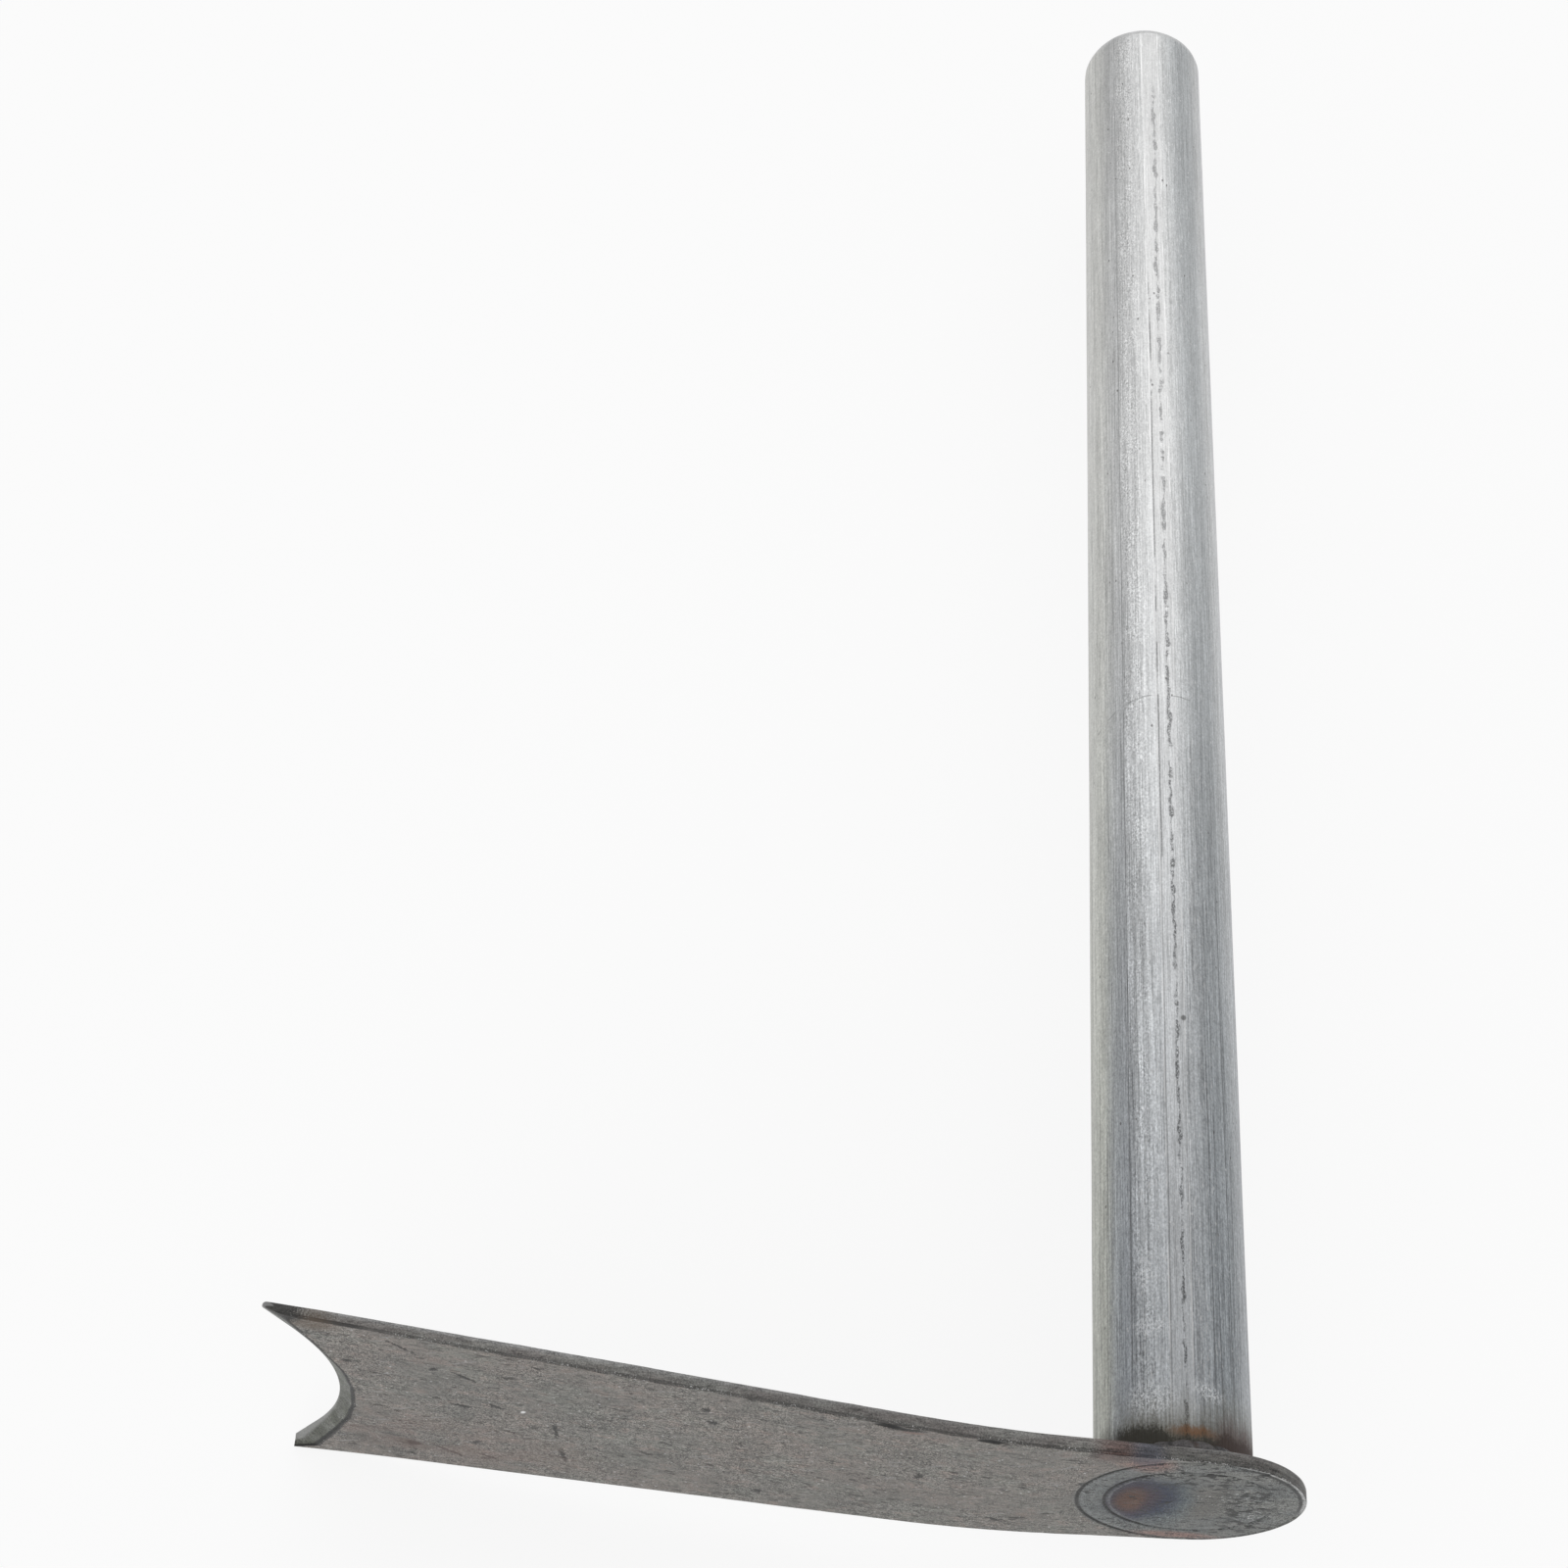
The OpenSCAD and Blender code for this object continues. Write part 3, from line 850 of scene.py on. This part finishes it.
# Gashes in the outer face: place as x and z, length, tilt in degrees, and width
gashes = (
    ((-120.4, 22.9), 5.0, -41, 0.55),
    ((-115.9, 15.9), 2.2, 45, 0.75),
    ((-111.3, 14.5), 4.0, -40, 0.65),
    ((-97.7, -2.9), 6.4, -89, 0.55),
    ((-96.8, -14.2), 4.6, -83, 0.7),
    ((-112.2, 1.8), 3.2, -1, 0.8),
    ((-107.0, 3.7), 2.6, -21, 0.7),
    ((-105.5, -6.6), 2.8, -19, 0.5),
    ((-111.1, -13.9), 2.6, 44, 0.7),
    ((-116.0, -19.9), 5.0, -33, 0.7),
    ((-109.4, -19.9), 3.0, -29, 0.55),
    ((-72.8, 10.9), 1.6, 0, 1.1),
    ((-73.8, 15.9), 1.3, 0, 0.9),
    ((-65.2, -16.9), 1.4, -3, 1.1),
    ((-40.0, 1.3), 2.0, 69, 0.9),
    ((-27.0, -14.3), 1.8, -28, 0.8))
white_spot = (-102.6, 3.0)
big_chip = (-43.6, 20.2)
small_chip = (-30.6, 19.6)


def blade_material():
    g = Graph("plate with mill scale")
    x, y, z = g.place()
    grit = g.field(0.24, 3, 0.7)
    speck = g.field(0.62, 3, 0.7)
    streak = g.field(0.5, 4, 0.65, (0.2, 1, 1))
    patch = g.field(5, 4, 0.6, (0.5, 1, 1))
    wide = g.field(20, 3, shift=(40, 0, 9))
    g.colour = g.mix(g.step(wide, 0.35, 0.65), (0.200, 0.182, 0.166), (0.188, 0.182, 0.168))
    g.paint((0.170, 0.174, 0.156), g.step(patch, 0.48, 0.68), 0.6)
    sandy = g.step(g.field(14, 3, shift=(-9, 0, 31)), 0.42, 0.58)
    smudge = g.field(2.0, 3, 0.6, (0.6, 1, 1), (17, 4, 6))
    g.paint((0.205, 0.165, 0.146), g.step(smudge, 0.54, 0.66), 0.55)
    g.paint((0.150, 0.152, 0.138), g.step(smudge, 0.46, 0.34), 0.45)
    light = g.add(1.0, g.vary(grit, g.add(2.6, g.mul(sandy, 3.2))), g.vary(smudge, 0.7),
                  g.vary(speck, g.add(1.5, g.mul(sandy, 1.3))), g.vary(streak, 1.4), g.vary(patch, 0.8))
    light = g.math("MINIMUM", g.math("MAXIMUM", light, 0.22), 2.4)
    g.shade(light)

    # the flaws of rolled plate: dark dashes and nicks that lie along it, long slanting
    # scratches, and small bright specks where the scale has come off
    dash = g.field(0.62, 3, 0.6, (0.28, 1, 1), (7, 3, 1))
    dashed = g.mul(g.step(dash, 0.60, 0.635), g.step(patch, 0.42, 0.54, 0.1, 1.0))
    g.paint(grey(0.050, 0.08), dashed, 0.68)
    nick = g.field(1.5, 3, 0.65, (0.45, 1, 1), (21, 8, 2))
    nicked = g.step(nick, 0.635, 0.665)
    g.paint(grey(0.035, 0.1), nicked, 0.8)
    slant = g.add(z, g.mul(x, 0.13))
    scratch = g.noise(g.join(g.mul(x, 0.045), y, slant), 0.42, 2, 0.5)
    scratched = g.mul(g.step(scratch, 0.61, 0.65), g.step(wide, 0.42, 0.52))
    g.paint(grey(0.06, 0.1), scratched, 0.5)
    counter = g.add(z, g.mul(x, -0.5))
    crossing = g.noise(g.join(g.mul(x, 0.07), y, counter), 0.5, 2, 0.5)
    g.paint(grey(0.34), g.step(crossing, 0.64, 0.68), g.fall(wide, 0.5, 0.6), 0.5)
    dots = g.cells(g.shift(g.point, (3, 5, 7)), 1.5)
    g.paint(grey(0.52), g.fall(dots, 0.08, 0.18), g.step(speck, 0.50, 0.56), 0.85)
    dark_dots = g.cells(g.shift(g.point, (13, 2, 27)), 1.3)
    g.paint(grey(0.045, 0.08), g.fall(dark_dots, 0.10, 0.22), g.fall(speck, 0.42, 0.50), 0.8)

    # the gashes that the photo shows one by one
    outer = g.fall(y, 11, 12)
    frayed = g.vary(grit, 1.6)
    torn_edge = g.add(g.vary(speck, 3.0), g.vary(grit, 1.6))
    cut = 0.0
    # drawn a little longer and wider than the table's sizes
    for place, length, tilt, width in gashes:
        cut = g.either(cut, g.gash(x, z, place, length * 1.1, tilt, width * 1.4, torn_edge))
    g.paint(grey(0.022, 0.05), cut, outer, 0.93)
    g.paint(grey(0.8), g.gash(x, z, white_spot, 1.1, 64, 0.7), outer, 0.9)

    # painted shade in the coined rings, the dents and the knocks, darkest on the side of the blade
    recess_shade = g.step(x, 6, -7, 0.35, 1.0)
    g.paint(grey(0.018, 0.05), g.step(g.number("cavity"), 0.05, 0.13), recess_shade)

    # brownish stain towards the lower prong
    g.paint((0.20, 0.125, 0.105), g.blot(x, z, (-118, -16), (22, 9), 0.7), g.step(patch, 0.35, 0.6), 0.35)
    head_heat(g, light, x, y, z, patch, speck, streak)

    # the sheared side of the plate is darker, with painted shade in a dark line along the outer face's
    # brink and a painted highlight along the handle side's; the scale has come off here and there at the
    # outer brink
    side = g.number("side")
    side_tone = g.add(1.0, g.add(g.vary(grit, 2.6), g.vary(streak, 2.2)))
    layers = g.noise(g.join(g.mul(x, 0.06), y, g.mul(z, 0.06)), 0.5, 3, 0.6)
    layered = g.mul(g.step(x, -30, -16), 3.0)
    side_tone = g.add(side_tone, g.vary(layers, layered))
    side_tone = g.math("MAXIMUM", side_tone, 0.2)
    sheared = g.tone(g.mix(g.step(patch, 0.4, 0.6), (0.130, 0.122, 0.117), (0.166, 0.165, 0.156)),
                     side_tone)
    sheared = g.tone(sheared, g.step(x, -15, -3, g.step(x, -60, -125, 1.0, 1.25), 0.64))
    g.paint(sheared, side, 0.85)
    brink = g.number("brink")
    brink_shade = g.mul(g.step(brink, 0.2, 0.8), g.step(streak, 0.36, 0.56, 0.35, 1.0))
    burr = g.mul(g.step(brink, 0.15, 0.6), g.step(x, -122, -128), 1.3)
    brink_shade = g.math("MINIMUM", g.either(brink_shade, burr), 1.25)
    g.paint(grey(0.028, 0.05), brink_shade, 0.74)
    # a painted highlight along the handle side's brink, stronger towards the prongs
    g.paint(g.tone(grey(0.27), side_tone), g.step(brink, -0.15, -0.7), g.step(x, -20, -110, 0.2, 0.75))
    torn = g.either(g.gash(x, z, big_chip, 6.4, 4, 1.3, frayed),
                    g.gash(x, z, small_chip, 3.2, -12, 0.8, frayed))
    rust = g.gash(x, z, (big_chip[0] + 1.2, big_chip[1] - 0.9), 3.6, 4, 1.0, frayed)
    g.paint((0.20, 0.13, 0.11), rust, outer, 0.7)
    g.paint(grey(0.012), torn, outer, 0.9)
    round_head = g.step(x, -8, -1, 0.0, 0.05)
    chips = g.mul(g.step(brink, 0.05, 0.5), g.step(g.add(grit, round_head), 0.60, 0.64),
                  g.step(patch, 0.44, 0.52))
    g.paint(grey(0.55), chips, 0.85)
    dusk = g.blot(x, z, (-6.6, 17.6), (2.6, 2.8), 0.5, frayed)
    red = g.blot(x, z, (-11.6, 18.2), (3.2, 2.4), 0.6, frayed)
    g.paint(g.tone((0.080, 0.034, 0.028), side_tone), red, 0.6)
    g.paint(g.tone((0.034, 0.040, 0.064), side_tone), dusk, 0.6)

    # a burnt spot and brown on the upper prong
    g.paint((0.12, 0.085, 0.055), g.blot(x, z, (-133.6, 27.2), (3.2, 1.9), 0.6, frayed), outer, 0.6)
    burnt = g.blot(x, z, (-138.6, 28.7), (3.4, 1.8), 0.4, g.mul(frayed, 1.2))
    g.paint(g.tone(grey(0.030, 0.04), side_tone), burnt, 0.9)

    rough = g.add(0.56, g.vary(streak, 0.5))
    metal = g.add(0.30, g.vary(speck, 0.5))
    heights = g.add(g.mul(grit, 0.5), g.add(g.mul(speck, 0.8), g.mul(streak, 0.5)))
    heights = g.sub(heights, g.add(g.mul(dashed, 0.8), g.mul(nicked, 1.4)))
    heights = g.sub(heights, g.mul(scratched, 0.6))
    return g.finish(metal, rough, g.bump(heights, 0.07))


# Heat colours of the weld on the outer face: place, radii, softness, share and colour
heat_patches = (
    ((4.2, 0.6), (4.6, 7.0), 0.5, 0.7, (0.118, 0.112, 0.100)),
    ((-1.2, -0.6), (4.2, 9.8), 0.45, 0.85, (0.082, 0.106, 0.117)),
    ((-4.9, -0.3), (5.6, 9.7), 0.30, 0.95, (0.009, 0.015, 0.042)),
    ((-6.2, -0.4), (3.9, 7.2), 0.4, 0.8, (0.040, 0.022, 0.030)),
    ((-6.7, -0.7), (2.2, 4.8), 0.5, 0.9, (0.084, 0.037, 0.020)))
# Heat rings on the handle side: radius, half width, softness, share and colour
heat_rings = (
    (23.5, 2.6, 0.8, 0.45, (0.21, 0.15, 0.08)),
    (19.6, 1.9, 0.7, 0.7, (0.095, 0.045, 0.028)),
    (16.4, 1.5, 0.6, 0.85, (0.024, 0.032, 0.062)))


def head_heat(g, light, x, y, z, patch, speck, streak):
    """The heat colours of the weld on both faces of the head, the rough marks beside them, and painted
    shade and highlights at the coined rings and the head's right brink.
    """
    outer = g.fall(y, 0.4, 1.2)
    warp = g.vary(g.field(4.5, 3), 0.6)
    frayed = g.add(warp, g.vary(speck, 0.5))
    on_head = g.blot(x, z, (head_off, 0), (head_r, head_r), 0.04)
    teal = g.mix(g.step(patch, 0.4, 0.6), (0.136, 0.150, 0.150), (0.156, 0.162, 0.154))
    g.paint(g.tone(teal, light), on_head, outer, 0.8)
    g.paint(g.tone((0.132, 0.144, 0.147), light),
            g.blot(x, z, (head_off, 0), (17.2, 17.2), 0.03), g.step(x, -2, -9), outer, 0.45)
    for at, radii, soft, share, colour in heat_patches:
        g.paint(g.tone(colour, light), g.blot(x, z, at, radii, soft, frayed), outer, share)
    pink = g.blot(x, z, (-6.0, 15.3), (3.6, 2.6), 0.6, frayed)
    pink = g.either(pink, g.blot(x, z, (2.5, -15.8), (6.5, 1.4), 0.6, frayed))
    g.paint(g.tone((0.235, 0.135, 0.112), light), pink, outer, 0.75)

    away = g.math("SQRT", g.add(g.math("POWER", g.sub(x, head_off), 2.0), g.mul(z, z)))
    # painted shade in a dark line along each coined ring, darkest on the left, and a painted highlight
    # just inside it
    ring_shade_lines = g.either(g.near(away, inner_ring_r + 0.05, 0.30), g.near(away, outer_ring_r + 0.05, 0.34))
    ring_shade_lines = g.mul(ring_shade_lines, outer, g.step(x, 3, -7, 0.1, 1.0), g.step(streak, 0.34, 0.50, 0.5, 1.0))
    g.paint(grey(0.020, 0.05), ring_shade_lines, 0.85)
    ring_highlight = g.either(g.near(away, inner_ring_r - 0.75, 0.2), g.near(away, outer_ring_r - 0.8, 0.2))
    ring_highlight = g.mul(ring_highlight, outer, g.step(x, -1, -8), g.step(streak, 0.42, 0.52))
    g.paint(grey(0.30, -0.03), ring_highlight, 0.35)

    # the brink at the head's right end: a broken painted highlight with a dark line of painted shade
    # inside it
    right_end = g.mul(g.step(x, 6, 10), g.step(z, -4, 1), outer)
    end_highlight = g.mul(g.near(away, head_r - 0.35, 0.26), right_end, g.step(streak, 0.40, 0.52, 0.25, 1.0))
    shade = g.mul(g.near(away, head_r - 0.95, 0.26), right_end)
    g.paint(grey(0.028), shade, 0.75)
    g.paint(grey(0.62), end_highlight, 0.8)

    # rough dark pits and pale scraped spots to the right of the middle
    rough_zone = g.blot(x, z, (11.4, 0.6), (4.6, 8.5), 0.7, warp)
    rough_zone = g.either(rough_zone, g.blot(x, z, (13.5, -9), (5.5, 3.2), 0.7, warp))
    ragged = g.field(1.7, 4, 0.74, (0.6, 1, 1))
    g.paint(grey(0.010), rough_zone, outer, g.step(ragged, 0.52, 0.54), 0.92)
    pale_zone = g.either(g.blot(x, z, (8.2, 3.0), (5.5, 3.4), 0.6, warp),
                         g.blot(x, z, (14.2, -3.5), (3.6, 4.0), 0.6, warp))
    g.paint(grey(0.52), pale_zone, outer, g.step(speck, 0.57, 0.60), g.fall(ragged, 0.46, 0.49), 0.8)
    upper = g.blot(x, z, (4, 11), (12, 5.5), 0.6, warp)
    fleck = g.field(1.0, 3, 0.7, (0.4, 1, 1))
    g.paint(grey(0.018), on_head, outer, g.step(g.add(fleck, g.mul(upper, 0.07)), 0.592, 0.62), 0.88)

    # heat rings round the weld on the handle side
    inner = g.step(y, 1.2, 2.0)
    away = g.add(g.length(x, z), g.mul(warp, 5))
    for at, half, soft, share, colour in heat_rings:
        g.paint(g.tone(colour, light), g.near(away, at, half, soft), inner, share)


def bevel_material():
    """Ground steel that has gone dull: fine strokes across the bevel."""
    g = Graph("ground bevel")
    x, y, z = g.place()
    stroke = g.field(0.4, 3, 0.6, (0.3, 1, 1))
    speck = g.field(0.5, 3, 0.7)
    grit = g.field(0.22, 3, 0.7)
    patch = g.field(3.5, 3)
    g.colour = g.mix(g.step(patch, 0.35, 0.65), (0.104, 0.109, 0.090), (0.160, 0.164, 0.148))
    light = g.add(1.0, g.vary(stroke, 1.8), g.vary(speck, 2.4), g.vary(grit, 2.6))
    g.shade(g.math("MAXIMUM", light, 0.25))
    g.paint(grey(0.03), g.step(speck, 0.58, 0.65), 0.7)
    g.paint(grey(0.5), g.step(grit, 0.62, 0.68), g.step(patch, 0.4, 0.5), 0.5)
    border = g.step(g.add(g.number("brink"), g.vary(speck, 0.8)), 0.25, 0.55)
    g.paint(grey(0.014), border, 0.92)
    burnt = g.blot(x, z, (-139.6, 28.9), (3.6, 2.0), 0.4, g.vary(speck, 1.6))
    g.paint(grey(0.035, 0.04), burnt, 0.85)
    g.paint(grey(0.42), g.step(y, 10.1, 10.5), 0.5)
    heights = g.add(g.mul(stroke, 0.8), g.add(g.mul(speck, 0.6), g.mul(grit, 0.4)))
    return g.finish(0.45, g.add(0.42, g.mul(stroke, 0.2)), g.bump(heights, 0.07))


# Weld bead

def weld_material():
    g = Graph("as-welded bead")
    g.place()
    speck = g.field(0.45, 3, 0.7)
    grit = g.field(0.2, 3, 0.7)
    patch = g.field(3.2, 3)
    g.colour = g.mix(g.step(patch, 0.35, 0.65), (0.050, 0.046, 0.048), (0.094, 0.088, 0.088))
    g.paint((0.085, 0.045, 0.028), g.step(patch, 0.6, 0.7), 0.6)
    light = g.add(1.0, g.add(g.vary(speck, 2.6), g.vary(grit, 2.2)))
    g.shade(g.math("MAXIMUM", light, 0.2))
    # painted shade along both toes of the bead and in the troughs between its ripples
    g.paint(grey(0.012), g.step(g.number("crease"), 0.35, 1.0), 0.7)
    # painted glints: pale specks on the bead
    g.paint(grey(0.40), g.step(speck, 0.60, 0.66), g.fall(patch, 0.45, 0.52), 0.55)
    return g.finish(0.5, g.add(0.42, g.mul(speck, 0.3)), g.bump(g.add(speck, g.mul(grit, 0.4)), 0.10))


def make_weld(material):
    around_n = 260
    section_n = 14
    angle = 2 * math.pi * np.arange(around_n) / around_n
    off = (angle - lump_dir + math.pi) % (2 * math.pi) - math.pi
    leg = weld_leg + lump * np.exp(-(off / lump_spread) ** 2)
    leg = leg + weld_waver * weld_leg * np.sin(3 * angle + math.radians(40))
    v = np.arange(section_n + 1) / section_n
    arch = np.sin(math.pi * v)
    shape = arch ** 0.6
    rings, crease = [], []
    for a, size in zip(angle, leg):
        wave = np.abs(np.sin((ripples * a + 1.8 * arch) / 2))
        spots = [(math.cos(a) * 15, math.sin(a) * 15, h * size) for h in v]
        rough = 0.12 * uneven(spots, 1.7, 8, 3) + 0.16 * uneven(spots, 4.5, 9)
        grow = weld_bulge * size * arch + (rough + ripple_height * (wave - 0.6)) * shape
        outwards = size * (1 - v) + grow
        height = weld_height * size * v + grow
        r = tube_r + np.concatenate([[-0.5], outwards, [-0.5]])
        h = plate_t + np.concatenate([[0.0], np.maximum(height, 0), [weld_height * size]])
        h[1] = plate_t - 0.02
        rings.append(np.stack([r * math.cos(a), h, -r * math.sin(a)], 1))
        # how far each point lies in a crease, high at both toes and in the ripples' troughs, which the
        # material darkens as painted shade
        crease.append(np.concatenate([[1.0], (1 - wave) * shape, [1.0]]))
        crease[-1][1] = crease[-1][-2] = 0.8
    rows = np.arange(around_n * (section_n + 3)).reshape(around_n, -1)
    piece = new_piece("weld", np.concatenate(rings), ring_faces([*rows, rows[0]]),
                      "weld_bead", [material], 50)
    keep_number(piece, "crease", crease)


# Floor, light and camera

def make_floor():
    """A pale floor that shows itself evenly bright to the camera, with a faint shadow."""
    size = 6.0
    mesh = bpy.data.meshes.new("floor")
    corners = [(-size, -size, 0), (size, -size, 0), (size, size, 0), (-size, size, 0)]
    mesh.from_pydata(corners, [], [(0, 1, 2, 3)])
    floor = new_object("floor", mesh)
    floor.location = (0, 0, cad_box[0].z - 0.0002)
    g = Graph("pale floor")
    for name, value in (("Base Color", grey(0.86)), ("Roughness", 1.0), ("Specular IOR Level", 0.0)):
        g.feed(g.shader.inputs[name], value)
    rays = g.node("LightPath").outputs
    seen = g.either(rays["Is Camera Ray"], rays["Is Glossy Ray"], rays["Is Transmission Ray"])
    blend = g.node("MixShader")
    g.feed(blend.inputs[0], g.mul(seen, 0.86))
    g.feed(blend.inputs[1], g.shader.outputs[0])
    g.feed(blend.inputs[2], g.node("Emission").outputs[0])
    g.feed(g.surface, blend.outputs[0])
    mesh.materials.append(g.material)


def make_world():
    """A studio room: dim at the level of the horizon, brightest at half height."""
    world = bpy.data.worlds.new("studio")
    bpy.context.scene.world = world
    world.use_nodes = True
    tree = world.node_tree
    tree.nodes.clear()
    kinds = ("TexCoord", "SeparateXYZ", "ValToRGB", "Background", "OutputWorld")
    where, split, ramp, back, out = [tree.nodes.new("ShaderNode" + kind) for kind in kinds]
    tree.links.new(where.outputs["Generated"], split.inputs[0])
    tree.links.new(split.outputs[2], ramp.inputs[0])
    tree.links.new(ramp.outputs[0], back.inputs[0])
    tree.links.new(back.outputs[0], out.inputs[0])
    levels = ((0.0, 0.50), (0.30, 0.58), (0.62, 0.80), (1.0, 0.66))
    stops = ramp.color_ramp.elements
    stops[0].position, stops[1].position = levels[0][0], levels[-1][0]
    for place, _ in levels[1:-1]:
        stops.new(place)
    for stop, (_, level) in zip(stops, levels):
        stop.color = (level, level, level, 1)


def make_lamp(name, place, aim, size, power):
    lamp = bpy.data.lights.new(name, "AREA")
    lamp.shape = "RECTANGLE"
    lamp.size, lamp.size_y = size
    lamp.energy = power
    made = new_object(name, lamp)
    made.location = place
    made.rotation_mode = "QUATERNION"
    made.rotation_quaternion = (Vector(aim) - Vector(place)).to_track_quat("-Z", "Y")


def make_lamps():
    middle = (0, 0.15, 0)
    make_lamp("window", (0.1, 1.9, 1.35), middle, (2.2, 1.3), 10.0)
    make_lamp("front", (-0.5, -1.3, 0.45), middle, (1.2, 0.8), 5.0)


# The camera was fitted to the outlines in the photo
camera_at = Vector((-0.06811, -0.14440, 0.41343))
camera_looks = Vector((-0.00090, 0.55215, -0.83374))
camera_right = Vector((0.99768, 0.05728, 0.03686))
focal_in_frames = 2766.92 / 1600


def make_camera():
    data = bpy.data.cameras.new("photo")
    data.sensor_width = 36
    data.lens = data.sensor_width * focal_in_frames
    data.clip_start = 0.01
    camera = new_object("photo", data)
    upwards = camera_right.cross(camera_looks)
    turn = Matrix((camera_right, upwards, -camera_looks)).transposed()
    camera.matrix_world = Matrix.Translation(camera_at) @ turn.to_4x4()
    bpy.context.scene.camera = camera


make_tube(tube_material())
make_blade(blade_material(), bevel_material())
make_weld(weld_material())
make_floor()
make_world()
make_lamps()
make_camera()
bpy.context.scene.view_settings.view_transform = "Standard"
